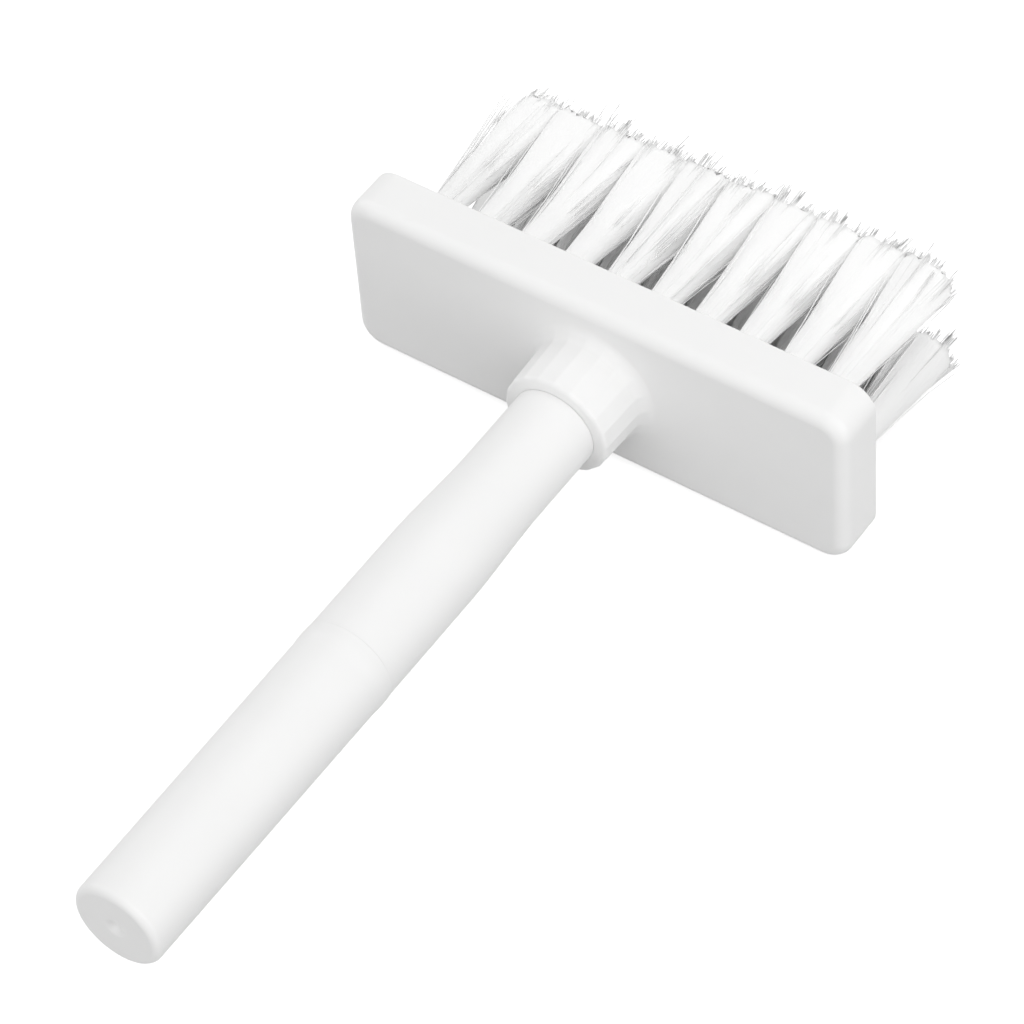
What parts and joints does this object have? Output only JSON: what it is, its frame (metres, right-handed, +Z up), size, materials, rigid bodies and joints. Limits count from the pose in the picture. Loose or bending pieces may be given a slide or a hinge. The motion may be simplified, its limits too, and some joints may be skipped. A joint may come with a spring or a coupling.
{
  "type": "keyboard cleaning brush",
  "caption": "White T-shaped keyboard cleaning brush: wide tufted head pushed onto a round handle whose long rear cap pulls off a wire keycap puller.",
  "frame": {"origin": "middle of the head's flat underside, on which the brush lies, at half the head's depth", "axes": "+X along the head, +Y along the handle from its tail to the bristle tips, +Z up, square to the head's long narrow sides"},
  "size_m": [0.1, 0.1761, 0.035],
  "materials": {
    "white_plastic": "satin",
    "white_nylon": "satin",
    "grey_plastic": "matte",
    "steel": "polished"
  },
  "bodies": {
    "handle": {"barrel": "white_plastic", "nib_holder": "grey_plastic", "metal_nib": "steel", "puller_plug": "grey_plastic", "puller_wire_left": "steel", "puller_wire_right": "steel"},
    "brush_head": {"head_shell": "white_plastic", "tuft_block": "white_plastic", "bristle_row_upper": "white_nylon", "bristle_row_lower": "white_nylon", "anchor_staple_01": "steel", "anchor_staple_02": "steel", "anchor_staple_03": "steel", "anchor_staple_04": "steel", "anchor_staple_05": "steel", "anchor_staple_06": "steel", "anchor_staple_07": "steel", "anchor_staple_08": "steel", "anchor_staple_09": "steel", "anchor_staple_10": "steel", "anchor_staple_11": "steel", "anchor_staple_12": "steel", "anchor_staple_13": "steel", "anchor_staple_14": "steel", "anchor_staple_15": "steel", "anchor_staple_16": "steel", "anchor_staple_17": "steel", "anchor_staple_18": "steel", "anchor_staple_19": "steel", "anchor_staple_20": "steel"},
    "cap": {"cap": "white_plastic"}
  },
  "joints": [
    {"name": "head_pull", "type": "slide", "parent": "handle", "child": "brush_head", "axis": [0, 1, 0], "range_m": [0, 0.03]},
    {"name": "cap_pull", "type": "slide", "parent": "handle", "child": "cap", "axis": [0, -1, 0], "range_m": [0, 0.06]}
  ]
}
